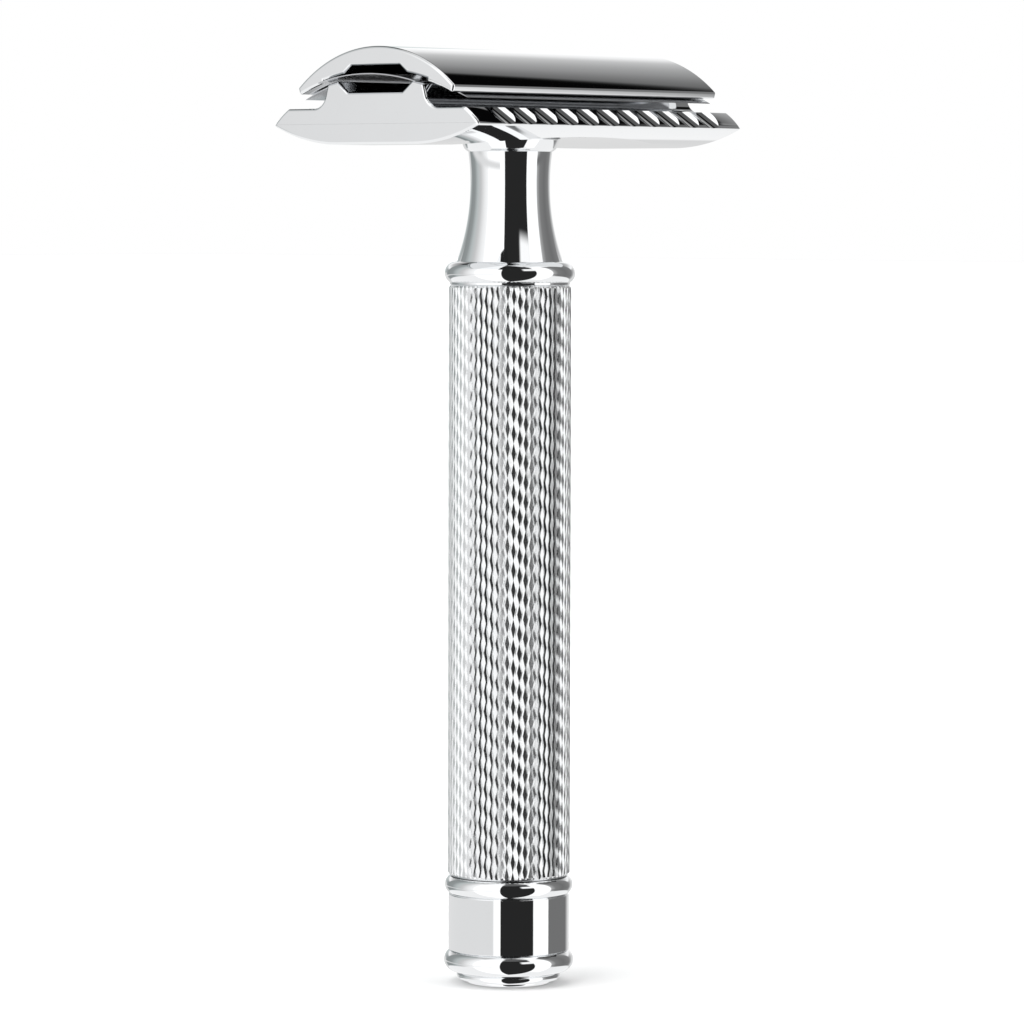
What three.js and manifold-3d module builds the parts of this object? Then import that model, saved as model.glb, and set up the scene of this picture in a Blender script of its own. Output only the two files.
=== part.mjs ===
import * as THREE from "three";
import { mergeVertices } from "three/addons/utils/BufferGeometryUtils.js";
import Module from "manifold-3d";

// A three-piece double-edge safety razor, standing upright on the foot of its handle.
// Millimetres, +Z up. The origin is the centre of the foot's underside. The handle runs up +Z,
// the head is long along X, and the blade's two cutting edges face +Y and -Y.

// ---- Handle: heights along Z, from the foot up ----
const BAND_Z = 3.4;
const UPPER_BEAD_Z = 9.1;
const GRIP_Z = 11.0;
const COLLAR_Z = 71.2;
const NECK_Z = 73.5;
const NECK_WAIST_Z = 81.4;
const FLANGE_Z = 84.6;
const FLANGE_TOP_Z = 85.95;

// ---- Handle: radii ----
const BAND_RADIUS = 6.15;
const GRIP_RADIUS = 6.22;
const NECK_WAIST_RADIUS = 4.03;
const NECK_SWEEP_RADIUS = 23.5;
const EDGE_BREAK = 0.12;

// ---- Handle: rounded beads, each an arc in section, from one angle to another in degrees ----
const FOOT_ROLL = { centreRadius: 4.07, centreZ: 0.28, radius: 0.28, from: -90, to: 15 };
const FOOT_STEP = { centreRadius: 4.85, centreZ: 0.8, radius: 0.45, from: -90, to: 60 };
const LOWER_BEAD = { centreRadius: 5.45, centreZ: 2.35, radius: 1.15, from: -95, to: 64 };
const UPPER_BEAD = { centreRadius: 5.47, centreZ: 10.05, radius: 1.05, from: -57, to: 57 };
const COLLAR_BEAD = { centreRadius: 5.49, centreZ: 72.35, radius: 1.15, from: -56, to: 90 };
const FLANGE_ROLL = { centreRadius: 3.69, centreZ: 85.72, radius: 1.25, from: -63, to: 0 };

// ---- Handle: what holds it together ----
const TUBE_BORE_RADIUS = 4.9;
const SPIGOT_RADIUS = 4.84;
const SPIGOT_INSET = 5;
const SCREW_RADIUS = 2;
const SCREW_HEAD_RADIUS = 3.4;
const SCREW_HEAD_Z = 4.8;
const SCREW_HEAD_HEIGHT = 2.6;
const SCREW_TOP_Z = 71.6;
const NECK_WEB_Z = 72.2;
const NECK_WEB_THICKNESS = 2.6;
const FIT = 0.06;

// ---- Blade: the standard double-edge size, bent over the plate ----
const BLADE_LENGTH = 42.9;
const BLADE_EDGE_LENGTH = 37.3;
const BLADE_TAB_WIDTH = 13;
const BLADE_THICKNESS = 0.1;
const BLADE_EDGE_Y = 10.85;
const BLADE_BEVEL = 0.8;
const BLADE_EDGE_THICKNESS = 0.02;
const BLADE_BEND_RADIUS = 25.7;
const BLADE_CREST_Z = 92.04;
const BLADE_SLOT_WIDTH = 2.7;
const BLADE_SLOT_LENGTH = 31;
const BLADE_CENTRE_HOLE_RADIUS = 3.05;
const BLADE_POST_HOLE_RADIUS = 1.9;

// ---- Cap ----
const HEAD_LENGTH = 40.5;
const CAP_TOP_Z = 94.8;
const CAP_EDGE_Y = 10.42;
const CAP_EDGE_TOP_Z = 90.8;
const CAP_CORNER_Y = 10.2;
const CAP_GAP = 0.1;
const TAB_RECESS_Y = 6.9;
const TAB_RECESS_DEPTH = 0.25;
const CAP_CHANNEL_MOUTH_Y = 4.2;
const CAP_CHANNEL_Y = 3.21;
const CAP_CHANNEL_Z = 92.88;
const STUD_BOSS_RADIUS = 3.5;
const STUD_BOSS_Z = 92.3;

// ---- Threaded stud and locating posts ----
const THREAD_RADIUS = 2.5;
const THREAD_PITCH = 0.8;
const THREAD_TURNS = 10;
const STUD_TOP_Z = 93.7;
const STUD_CHAMFER = 0.5;
const POST_RADIUS = 1.1;
const POST_SPACING = 26;
const POST_BOTTOM_Z = 87.2;

// ---- Base plate ----
const PLATE_BOTTOM_Z = 85.13;
const PLATE_FLAT_Y = 5;
const PLATE_TIP_Y = 13.68;
const PLATE_TIP_Z = 87;
const PLATE_TIP_BLUNT = 0.14;
const BAR_BULGE = 0.1;
const SHOULDER_Y = 11.8;
const SHOULDER_Z = 88.72;
const SHOULDER_START_Y = 8.35;
const RIDGE_FILLET = 1.7;
const RIDGE_WALL_ANGLE = 200;
const RIDGE_EDGE_Y = 6.4;
const RIDGE_CREST_Y = 5;
const RIDGE_GAP = 0.1;
const TROUGH_Y = 3.62;
const TROUGH_Z = 90.27;
const SEAT_RADIUS = 5.08;
const SEAT_Z = 86;
const RELIEF_LENGTH = 30;
const PLATE_BORE_RADIUS = 2.7;
const POST_SOCKET_RADIUS = 1.3;
const POST_SOCKET_Z = 86.9;

// ---- Scallops in the safety bars ----
const SCALLOPS_PER_BAR = 11;
const SCALLOP_PITCH = 3.14;
const SCALLOP_WIDTH = 3.12;
const SCALLOP_DEPTH = 0.36;
const SCALLOP_TILT = 8;

// ---- Fineness of the round surfaces ----
const TURN_SIDES = 48;
const SMALL_SIDES = 24;
const CUTTER_SIDES = 40;
const ARC_STEPS = 8;
const FINE_STEPS = 4;

// ---- How far a cutting solid reaches past what it cuts ----
const CUT_PAST = 1;

const wasm = await Module();
wasm.setup();

// ---------------------------------------------------------------------------------------
// Solids
// ---------------------------------------------------------------------------------------

function toSolid(geometry) {
  const bare = geometry.clone();
  bare.deleteAttribute("normal");
  bare.deleteAttribute("uv");
  const merged = mergeVertices(bare, 1e-5);
  const mesh = new wasm.Mesh({
    numProp: 3,
    vertProperties: new Float32Array(merged.attributes.position.array),
    triVerts: new Uint32Array(merged.index.array),
  });
  return new wasm.Manifold(mesh);
}

function toGeometry(solid) {
  const mesh = solid.getMesh();
  const geometry = new THREE.BufferGeometry();
  geometry.setAttribute("position", new THREE.BufferAttribute(mesh.vertProperties, 3));
  geometry.setIndex(new THREE.BufferAttribute(mesh.triVerts, 1));
  geometry.computeVertexNormals();
  return geometry;
}

// A profile of [radius, height] pairs turned about Z. It starts and ends on the axis, or it
// closes on itself, and it runs counterclockwise.
function turned(profile, sides = TURN_SIDES) {
  const points = profile.map(([radius, height]) => new THREE.Vector2(radius, height));
  return new THREE.LatheGeometry(points, sides).rotateX(Math.PI / 2);
}

// An upright cylinder between two heights.
function upright(radius, bottomZ, topZ, sides = SMALL_SIDES) {
  const geometry = new THREE.CylinderGeometry(radius, radius, topZ - bottomZ, sides);
  geometry.rotateX(Math.PI / 2);
  return geometry.translate(0, 0, (bottomZ + topZ) / 2);
}

// A cross-section of [y, z] pairs drawn out along X, centred on the origin.
function drawnAlongX(section, length) {
  const outline = new THREE.Shape(section.map(([y, z]) => new THREE.Vector2(y, z)));
  const geometry = new THREE.ExtrudeGeometry(outline, { depth: length, bevelEnabled: false });
  const toLengthwise = new THREE.Matrix4().makeBasis(
    new THREE.Vector3(0, 1, 0),
    new THREE.Vector3(0, 0, 1),
    new THREE.Vector3(1, 0, 0),
  );
  return geometry.applyMatrix4(toLengthwise).translate(-length / 2, 0, 0);
}

// ---------------------------------------------------------------------------------------
// Outlines
// ---------------------------------------------------------------------------------------

function between(from, to, fraction) {
  return from + (to - from) * fraction;
}

// Points made at even fractions from 0 to 1.
function samples(steps, makePoint) {
  return Array.from({ length: steps + 1 }, (_, i) => makePoint(i / steps));
}

// A half section from the middle of the top round to the middle of the underside, mirrored.
function mirrored(half) {
  const other = half.slice(1, -1).reverse().map(([y, z]) => [-y, z]);
  return [...half, ...other];
}

// Points along a circular arc, counterclockwise when the second angle is the larger. Degrees.
function arc(centreA, centreB, radius, from, to, steps = ARC_STEPS) {
  return samples(steps, (t) => {
    const angle = THREE.MathUtils.degToRad(between(from, to, t));
    return [centreA + radius * Math.cos(angle), centreB + radius * Math.sin(angle)];
  });
}

// The outer line of a rounded bead.
function bead({ centreRadius, centreZ, radius, from, to }, steps = ARC_STEPS) {
  return arc(centreRadius, centreZ, radius, from, to, steps);
}

// Height of the bent blade's middle surface at a distance from the centre line.
function bladeZ(y) {
  return BLADE_CREST_Z - BLADE_BEND_RADIUS + Math.sqrt(BLADE_BEND_RADIUS ** 2 - y ** 2);
}

// A run along the blade's bend from one y to another, lifted off its middle surface.
function alongBlade(fromY, toY, lift) {
  return samples(ARC_STEPS, (t) => {
    const y = between(fromY, toY, t);
    return [y, bladeZ(y) + lift];
  });
}

// ---------------------------------------------------------------------------------------
// Handle
// ---------------------------------------------------------------------------------------

// The stepped foot with the lower bead, and a short plug that closes the pommel from below.
function endCap() {
  return turned([
    [0, 0],
    ...bead(FOOT_ROLL, FINE_STEPS),
    ...bead(FOOT_STEP, FINE_STEPS),
    ...bead(LOWER_BEAD),
    [SCREW_HEAD_RADIUS, BAND_Z],
    [SCREW_HEAD_RADIUS, SCREW_HEAD_Z - FIT],
    [0, SCREW_HEAD_Z - FIT],
  ]);
}

// The plain band, with a counterbore for the screw's head and a spigot that centres the tube.
function pommelBand() {
  const counterbore = SCREW_HEAD_RADIUS + FIT;
  const clearance = SCREW_RADIUS + FIT;
  const headTopZ = SCREW_HEAD_Z + SCREW_HEAD_HEIGHT;
  return turned([
    [counterbore, BAND_Z],
    [BAND_RADIUS, BAND_Z],
    [BAND_RADIUS, UPPER_BEAD_Z],
    [SPIGOT_RADIUS, UPPER_BEAD_Z],
    [SPIGOT_RADIUS, GRIP_Z + SPIGOT_INSET],
    [clearance, GRIP_Z + SPIGOT_INSET],
    [clearance, headTopZ],
    [counterbore, headTopZ],
    [counterbore, BAND_Z],
  ]);
}

// A rounded ring between two heights that slips over a spigot.
function beadRing(bottomZ, topZ, outerBead) {
  const outer = bead(outerBead);
  const [[rootRadius]] = outer;
  return turned([
    [TUBE_BORE_RADIUS, bottomZ],
    [rootRadius, bottomZ],
    ...outer,
    [TUBE_BORE_RADIUS, topZ],
    [TUBE_BORE_RADIUS, bottomZ],
  ]);
}

// The grip is a plain tube at the crest radius of its knurl.
function gripSleeve() {
  return turned([
    [TUBE_BORE_RADIUS, GRIP_Z],
    [GRIP_RADIUS - EDGE_BREAK, GRIP_Z],
    [GRIP_RADIUS, GRIP_Z + EDGE_BREAK],
    [GRIP_RADIUS, COLLAR_Z - EDGE_BREAK],
    [GRIP_RADIUS - EDGE_BREAK, COLLAR_Z],
    [TUBE_BORE_RADIUS, COLLAR_Z],
    [TUBE_BORE_RADIUS, GRIP_Z],
  ]);
}

// The long screw that clamps the pommel, tube and neck together.
function tieScrew() {
  const headTopZ = SCREW_HEAD_Z + SCREW_HEAD_HEIGHT;
  return turned([
    [0, SCREW_HEAD_Z],
    [SCREW_HEAD_RADIUS, SCREW_HEAD_Z],
    [SCREW_HEAD_RADIUS, headTopZ],
    [SCREW_RADIUS, headTopZ],
    [SCREW_RADIUS, SCREW_TOP_Z - STUD_CHAMFER],
    [SCREW_RADIUS - STUD_CHAMFER, SCREW_TOP_Z],
    [0, SCREW_TOP_Z],
  ]);
}

// The waisted neck: its side is one hollow sweep, with a rounded flange on top for the plate.
// A web parts the screw's hole below from the stud's threaded hole above.
function neck() {
  const sweepCentre = NECK_WAIST_RADIUS + NECK_SWEEP_RADIUS;
  const sweep = samples(2 * ARC_STEPS, (t) => {
    const z = between(NECK_Z, FLANGE_Z, t);
    const radius = sweepCentre - Math.sqrt(NECK_SWEEP_RADIUS ** 2 - (z - NECK_WAIST_Z) ** 2);
    return [radius, z];
  });
  const spigotBottomZ = COLLAR_Z - SPIGOT_INSET;
  const screwHole = SCREW_RADIUS + FIT;
  const studHole = THREAD_RADIUS + FIT;
  const studHoleBottomZ = NECK_WEB_Z + NECK_WEB_THICKNESS;
  return turned([
    [0, NECK_WEB_Z],
    [screwHole, NECK_WEB_Z],
    [screwHole, spigotBottomZ],
    [SPIGOT_RADIUS, spigotBottomZ],
    [SPIGOT_RADIUS, NECK_Z],
    ...sweep,
    ...bead(FLANGE_ROLL),
    [FLANGE_ROLL.centreRadius + FLANGE_ROLL.radius, FLANGE_TOP_Z],
    [studHole, FLANGE_TOP_Z],
    [studHole, studHoleBottomZ],
    [0, studHoleBottomZ],
  ]);
}

// ---------------------------------------------------------------------------------------
// Head
// ---------------------------------------------------------------------------------------

// The cap's crown is one arc. Its underside follows the blade near the edges, steps up over
// the blade's end tabs and has a flat channel down the middle.
function capSection() {
  const rise = CAP_TOP_Z - CAP_EDGE_TOP_Z;
  const crownRadius = (CAP_EDGE_Y ** 2 + rise ** 2) / (2 * rise);
  const crownAngle = Math.asin(CAP_EDGE_Y / crownRadius);
  const crown = samples(2 * ARC_STEPS, (t) => {
    const angle = t * crownAngle;
    return [crownRadius * Math.sin(angle), CAP_TOP_Z - crownRadius * (1 - Math.cos(angle))];
  });
  const clampLift = BLADE_THICKNESS / 2 + CAP_GAP;
  return mirrored([
    ...crown,
    ...alongBlade(CAP_CORNER_Y, TAB_RECESS_Y, clampLift),
    ...alongBlade(TAB_RECESS_Y, CAP_CHANNEL_MOUTH_Y, clampLift + TAB_RECESS_DEPTH),
    [CAP_CHANNEL_Y, CAP_CHANNEL_Z],
    [0, CAP_CHANNEL_Z],
  ]);
}

// The crown with a boss that takes the stud, and the two posts that locate blade and plate.
function topCap() {
  let cap = toSolid(drawnAlongX(capSection(), HEAD_LENGTH));
  cap = cap.add(toSolid(upright(STUD_BOSS_RADIUS, STUD_BOSS_Z, STUD_TOP_Z, TURN_SIDES)));
  for (const side of [-1, 1]) {
    const post = upright(POST_RADIUS, POST_BOTTOM_Z, STUD_TOP_Z).translate(side * POST_SPACING / 2, 0, 0);
    cap = cap.add(toSolid(post));
  }
  const studHole = upright(THREAD_RADIUS + FIT, POST_BOTTOM_Z, STUD_TOP_Z + FIT, TURN_SIDES);
  return toGeometry(cap.subtract(toSolid(studHole)));
}

// The stud that draws the head together, engaged over all its turns when the razor is closed.
function capStud() {
  const bottomZ = FLANGE_TOP_Z - THREAD_PITCH * THREAD_TURNS;
  return turned([
    [0, bottomZ],
    [THREAD_RADIUS - STUD_CHAMFER, bottomZ],
    [THREAD_RADIUS, bottomZ + STUD_CHAMFER],
    [THREAD_RADIUS, STUD_TOP_Z],
    [0, STUD_TOP_Z],
  ]);
}

// The blade's section: a thin bent strip whose two edges are ground to a narrow land.
function bladeSection() {
  const bevelY = BLADE_EDGE_Y - BLADE_BEVEL;
  const half = BLADE_THICKNESS / 2;
  const landHalf = BLADE_EDGE_THICKNESS / 2;
  const top = [...alongBlade(0, bevelY, half), [BLADE_EDGE_Y, bladeZ(BLADE_EDGE_Y) + landHalf]];
  const under = [[BLADE_EDGE_Y, bladeZ(BLADE_EDGE_Y) - landHalf], ...alongBlade(bevelY, 0, -half)];
  return mirrored([...top, ...under]);
}

// The strip with its four corners notched to leave the end tabs, and the slot for stud and posts.
function razorBlade() {
  let blade = toSolid(drawnAlongX(bladeSection(), BLADE_LENGTH));
  const topZ = BLADE_CREST_Z + CUT_PAST;
  const bottomZ = bladeZ(BLADE_EDGE_Y) - CUT_PAST;
  const height = topZ - bottomZ;
  const middleZ = (topZ + bottomZ) / 2;
  const notchLength = BLADE_LENGTH - BLADE_EDGE_LENGTH;
  const notchWidth = 2 * BLADE_EDGE_Y - BLADE_TAB_WIDTH;
  for (const endX of [-1, 1]) {
    for (const endY of [-1, 1]) {
      const notch = new THREE.BoxGeometry(notchLength, notchWidth, height);
      notch.translate(endX * BLADE_LENGTH / 2, endY * BLADE_EDGE_Y, middleZ);
      blade = blade.subtract(toSolid(notch));
    }
    const postHole = upright(BLADE_POST_HOLE_RADIUS, bottomZ, topZ).translate(endX * POST_SPACING / 2, 0, 0);
    blade = blade.subtract(toSolid(postHole));
  }
  const slot = new THREE.BoxGeometry(BLADE_SLOT_LENGTH, BLADE_SLOT_WIDTH, height).translate(0, 0, middleZ);
  blade = blade.subtract(toSolid(slot));
  return toGeometry(blade.subtract(toSolid(upright(BLADE_CENTRE_HOLE_RADIUS, bottomZ, topZ))));
}

// The safety bar's outer face bulges between the shoulder and the tip. This is its chord.
function barChord() {
  const shoulder = new THREE.Vector2(SHOULDER_Y, SHOULDER_Z);
  const tip = new THREE.Vector2(PLATE_TIP_Y, PLATE_TIP_Z + PLATE_TIP_BLUNT);
  const along = tip.clone().sub(shoulder);
  const length = along.length();
  const middle = shoulder.clone().lerp(tip, 0.5);
  along.normalize();
  return { shoulder, along, length, middle, outward: new THREE.Vector2(-along.y, along.x) };
}

function barFace() {
  const { shoulder, along, length, outward } = barChord();
  return samples(ARC_STEPS, (t) => {
    const lift = 4 * BAR_BULGE * t * (1 - t);
    const point = shoulder.clone().addScaledVector(along, t * length).addScaledVector(outward, lift);
    return point.toArray();
  });
}

// The plate's section: an underside that is flat in the middle and curves up to the safety bar
// along each side, and two ridges under the blade with a trough between them.
function plateSection() {
  const underRun = PLATE_TIP_Y - PLATE_FLAT_Y;
  const underRise = PLATE_TIP_Z - PLATE_BOTTOM_Z;
  const underRadius = (underRun ** 2 + underRise ** 2) / (2 * underRise);
  const under = samples(ARC_STEPS, (t) => {
    const run = between(underRun, 0, t);
    const rise = underRadius - Math.sqrt(underRadius ** 2 - run ** 2);
    return [PLATE_FLAT_Y + run, PLATE_BOTTOM_Z + rise];
  });
  const fillet = arc(SHOULDER_START_Y, SHOULDER_Z + RIDGE_FILLET, RIDGE_FILLET, RIDGE_WALL_ANGLE, 270);
  const ridgeDrop = -(BLADE_THICKNESS / 2 + RIDGE_GAP);
  return mirrored([
    [0, TROUGH_Z],
    [TROUGH_Y, TROUGH_Z],
    ...alongBlade(RIDGE_CREST_Y, RIDGE_EDGE_Y, ridgeDrop),
    ...fillet,
    ...barFace(),
    ...under,
    [0, PLATE_BOTTOM_Z],
  ]);
}

// One shallow round-bottomed flute down the face of the safety bar on the given side. It is
// straight and a little less steep than the face, so it is deepest at the shoulder and almost
// runs out at the tip.
function scallop(x, side) {
  const cutterRadius = (SCALLOP_WIDTH ** 2 / 4 + SCALLOP_DEPTH ** 2) / (2 * SCALLOP_DEPTH);
  const { along, length, middle, outward } = barChord();
  const tilt = THREE.MathUtils.degToRad(SCALLOP_TILT);
  const origin = new THREE.Vector2();
  along.rotateAround(origin, tilt);
  outward.rotateAround(origin, tilt);
  const reach = length + 2 * CUT_PAST;
  const cutter = new THREE.CylinderGeometry(cutterRadius, cutterRadius, reach, CUTTER_SIDES);
  const cutterAxis = new THREE.Vector3(0, 1, 0);
  const downFace = new THREE.Vector3(0, along.x, along.y);
  cutter.applyQuaternion(new THREE.Quaternion().setFromUnitVectors(cutterAxis, downFace));
  const centre = middle.clone().addScaledVector(outward, BAR_BULGE - SCALLOP_DEPTH + cutterRadius);
  cutter.translate(0, centre.x, centre.y);
  if (side < 0) {
    cutter.rotateZ(Math.PI);
  }
  return cutter.translate(x, 0, 0);
}

// A shallow arch across the underside, as high as the flange's seat in the middle and run out
// to nothing towards both ends of the plate.
function underRelief() {
  const half = RELIEF_LENGTH / 2;
  const rise = SEAT_Z - PLATE_BOTTOM_Z;
  const radius = (half ** 2 + rise ** 2) / (2 * rise);
  const arch = samples(2 * ARC_STEPS, (t) => {
    const x = between(half, -half, t);
    return [x, SEAT_Z - radius + Math.sqrt(radius ** 2 - x ** 2)];
  });
  const floorZ = PLATE_BOTTOM_Z - CUT_PAST;
  const section = [[-half, floorZ], [half, floorZ], ...arch];
  return drawnAlongX(section, 2 * PLATE_TIP_Y).rotateZ(Math.PI / 2);
}

// The plate with its underside relieved, and a flat seat faced into it for the neck's flange.
function basePlate() {
  let plate = toSolid(drawnAlongX(plateSection(), HEAD_LENGTH));
  plate = plate.subtract(toSolid(underRelief()));
  const seat = upright(SEAT_RADIUS, PLATE_BOTTOM_Z - CUT_PAST, SEAT_Z, TURN_SIDES);
  plate = plate.subtract(toSolid(seat));
  for (const side of [-1, 1]) {
    for (let i = 0; i < SCALLOPS_PER_BAR; i += 1) {
      const x = (i - (SCALLOPS_PER_BAR - 1) / 2) * SCALLOP_PITCH;
      plate = plate.subtract(toSolid(scallop(x, side)));
    }
    const socket = upright(POST_SOCKET_RADIUS, POST_SOCKET_Z, TROUGH_Z + CUT_PAST);
    plate = plate.subtract(toSolid(socket.translate(side * POST_SPACING / 2, 0, 0)));
  }
  const boreBottomZ = PLATE_BOTTOM_Z - CUT_PAST;
  const bore = upright(PLATE_BORE_RADIUS, boreBottomZ, TROUGH_Z + CUT_PAST, TURN_SIDES);
  return toGeometry(plate.subtract(toSolid(bore)));
}

// ---------------------------------------------------------------------------------------
// Assembly
// ---------------------------------------------------------------------------------------

function finish(color, roughness, metalness) {
  return new THREE.MeshStandardMaterial({ color, roughness, metalness });
}

const polishedChrome = finish(0xdfe2e5, 0.06, 1);
const knurledChrome = finish(0xcfd2d6, 0.2, 1);
const bladeSteel = finish(0xb9bdc2, 0.28, 1);
const plainSteel = finish(0x8f9398, 0.4, 1);

function named(name, geometry, material) {
  const mesh = new THREE.Mesh(geometry, material);
  mesh.name = name;
  return mesh;
}

const handle = new THREE.Group();
handle.add(
  named("end_cap", endCap(), polishedChrome),
  named("pommel_band", pommelBand(), polishedChrome),
  named("pommel_ring", beadRing(UPPER_BEAD_Z, GRIP_Z, UPPER_BEAD), polishedChrome),
  named("grip_sleeve", gripSleeve(), knurledChrome),
  named("collar_ring", beadRing(COLLAR_Z, NECK_Z, COLLAR_BEAD), polishedChrome),
  named("neck", neck(), polishedChrome),
  named("tie_screw", tieScrew(), plainSteel),
);

const head = new THREE.Group();
head.add(
  named("base_plate", basePlate(), polishedChrome),
  named("razor_blade", razorBlade(), bladeSteel),
  named("top_cap", topCap(), polishedChrome),
  named("cap_stud", capStud(), plainSteel),
);

const razor = new THREE.Group();
razor.add(handle, head);

export default razor;
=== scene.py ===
"""Looks for the double-edge safety razor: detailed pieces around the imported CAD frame.

Sections are worked out in millimetres and become metres when a mesh is made.
The row frame has the foot's underside at the origin, the handle up +Z and the head along X.
"""

import math

import bmesh
import bpy
import numpy as np
from mathutils import Matrix, Vector


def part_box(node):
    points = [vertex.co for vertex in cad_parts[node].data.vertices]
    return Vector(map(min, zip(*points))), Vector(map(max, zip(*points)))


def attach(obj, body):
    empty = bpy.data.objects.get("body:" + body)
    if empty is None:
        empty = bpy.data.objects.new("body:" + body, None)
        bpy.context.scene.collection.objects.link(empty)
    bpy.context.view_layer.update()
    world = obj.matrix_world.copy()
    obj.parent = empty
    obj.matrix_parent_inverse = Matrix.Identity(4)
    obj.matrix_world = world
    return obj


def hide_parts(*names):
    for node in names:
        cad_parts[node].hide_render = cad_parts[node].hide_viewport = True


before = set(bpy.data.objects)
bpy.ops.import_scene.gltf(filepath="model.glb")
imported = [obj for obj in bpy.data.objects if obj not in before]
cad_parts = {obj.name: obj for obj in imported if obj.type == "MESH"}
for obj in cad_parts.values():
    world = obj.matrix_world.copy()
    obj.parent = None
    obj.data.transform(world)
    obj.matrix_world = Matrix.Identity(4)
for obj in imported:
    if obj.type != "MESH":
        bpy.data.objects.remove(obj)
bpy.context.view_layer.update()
SCENE = bpy.context.scene

MM = 0.001

# ---- Fineness ----
TURN_SIDES = 160
BORE_SIDES = 96
SMALL_SIDES = 64
POST_SIDES = 48
FILLET_STEPS = 10
END_STEPS = 8
ARC_STEPS = 14
BEAD_STEPS = 28
FLANGE_STEPS = 20
LONG_STEPS = 48
NECK_STEPS = 60

# ---- Shading: the sharpest turn that stays smooth, in degrees ----
SMOOTH = 32
SMOOTH_TURNED = 28
SMOOTH_CAP = 26
SMOOTH_PLATE = 11
SMOOTH_BLADE = 14
SMOOTH_FACETS = 20
SMOOTH_THREAD = 35

# ---- Camera ----
VIEW_AZIMUTH = math.radians(41.27)
VIEW_PITCH = math.radians(3.31)
VIEW_ROLL = math.radians(0.13)
CAMERA_DISTANCE = 529.9
CAMERA_HEIGHT = 78.7
CAMERA_SIDESTEP = 0.25
LENS = 183.5
CLIP = (0.01, 100)

# ---- Cutters: how far they reach past what they cut, and the directions of a prism ----
CUT_PAST = 1.0
UPRIGHT = ((1, 0, 0), (0, 1, 0), (0, 0, 1))
CROSSWAYS = ((1, 0, 0), (0, 0, 1), (0, 1, 0))

# ---- Handle sections ----
# Rolls and beads: the centre's distance from the axis and height, the radius, and the first
# and the last angle in degrees.
FOOT_ROLL = (4.07, 0.28, 0.28, -90, 15)
FOOT_STEP = (4.85, 0.8, 0.45, -90, 60)
LOWER_BEAD = (5.45, 2.35, 1.15, -95, 64)
UPPER_BEAD = (5.47, 10.05, 1.05, -57, 57)
COLLAR_BEAD = (5.49, 72.35, 1.15, -56, 90)
FLANGE_ROLL = (3.69, 85.72, 1.25, -63, 0)
SCREW_HEAD_RADIUS = 3.4
SCREW_HEAD_HEIGHT = 2.6
SCREW_HEAD_ROUND = 0.3
SCREW_SHELF_ROUND = 0.15
SCREW_RADIUS = 2.0
SCREW_CHAMFER = 0.5
DRIVE_RADIUS = 0.9
DRIVE_DEPTH = 1.0
DRIVE_POINT_DEPTH = 1.2
TUBE_BORE = 4.9
BAND_ROUND = 0.06
SPIGOT_ROUND = 0.3
GRIP_CHAMFER = 0.25
GRIP_CHAMFER_SLOPE = 0.8
NECK_WAIST_Z = 81.4
NECK_WAIST_RADIUS = 4.03
NECK_SWEEP_RADIUS = 23.5
FLANGE_Z = 84.6
NECK_WEB_Z = 72.2
NECK_WEB_THICKNESS = 2.6
NECK_MOUTH_CHAMFER = 0.3
FLANGE_ROUND = 0.1
FIT = 0.06

# ---- Knurl ----
# Widths are shares of a column. A groove has its least depth where it has no width, and a flat
# top's half width runs from narrow to wide and back in every pitch.
KNURL_COLUMNS = 64
KNURL_PITCH = 1.97
KNURL_STEPS = 12
KNURL_DEPTH = 0.056
KNURL_DEPTH_RISE = 0.09
KNURL_NARROW = 0.01
KNURL_WIDE = 0.37

# ---- Blade ----
BLADE_EDGE_LENGTH = 37.3
BLADE_TAB_WIDTH = 13.0
BLADE_THICKNESS = 0.1
# Half the thickness at the cutting edge and where its facets meet, and how far in they reach.
BLADE_EDGE_HALF = 0.006
BLADE_HONED_HALF = 0.024
BLADE_HONED_REACH = 0.28
BLADE_GROUND_REACH = 0.95
BLADE_STEPS = 12
BLADE_BEND_RADIUS = 25.7
BLADE_CREST_Z = 92.04
BLADE_SLOT_WIDTH = 2.7
BLADE_SLOT_LENGTH = 31.0
BLADE_CENTRE_HOLE = 3.05
BLADE_POST_HOLE = 1.9

# ---- Cap ----
CAP_EDGE_Y = 10.42
CAP_EDGE_TOP_Z = 90.8
CAP_CORNER_Y = 10.2
CAP_EDGE_ROUND = 0.24
CAP_CORNER_ROUND = 0.2
CAP_GAP = 0.1
TAB_RECESS_Y = 6.9
TAB_RECESS_DEPTH = 0.25
CHANNEL_MOUTH_Y = 4.2
CHANNEL_Y = 3.21
CHANNEL_Z = 92.88
CHANNEL_MOUTH_ROUND = 0.25
CHANNEL_ROUND = 0.3
BOSS_RADIUS = 3.5
BOSS_Z = 92.3

# ---- Stud and posts ----
THREAD_RADIUS = 2.5
THREAD_PITCH = 0.8
THREAD_DEPTH = 0.45
THREAD_SIDES = 72
THREAD_ROWS = 10
# A flank ends this share of a pitch from the middle of the root, and the root is flat for the
# first part of that way.
THREAD_FLANK = 0.42
THREAD_ROOT = 0.12
STUD_CHAMFER = 0.5
POST_RADIUS = 1.1
POST_ROUND = 0.35
POST_SPACING = 26.0
POST_BOTTOM_Z = 87.2

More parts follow.
